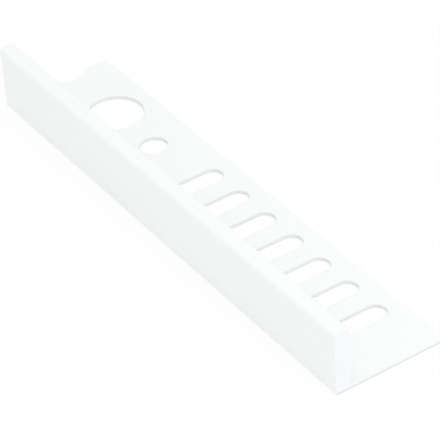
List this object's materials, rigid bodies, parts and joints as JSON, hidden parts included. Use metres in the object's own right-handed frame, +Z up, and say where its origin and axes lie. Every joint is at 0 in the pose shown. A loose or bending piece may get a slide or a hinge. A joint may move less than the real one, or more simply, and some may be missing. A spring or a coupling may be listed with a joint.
{
  "type": "tile edge trim",
  "caption": "Short length of white rigid PVC tile edge trim: a thick square upstand with a rounded outer top edge and a thin anchoring leg punched with keying holes and slots.",
  "frame": {"origin": "centre of the section's box on the bed, half way along the piece", "axes": "+X along the piece towards the plain sawn end, -Y out of the upstand's outer face, +Z up from the bed"},
  "size_m": [0.1014, 0.0216, 0.0125],
  "materials": {
    "rigid_pvc": "white extruded rigid PVC with a satin gloss"
  },
  "bodies": {
    "root": {"edge_trim": "rigid_pvc"}
  },
  "joints": []
}
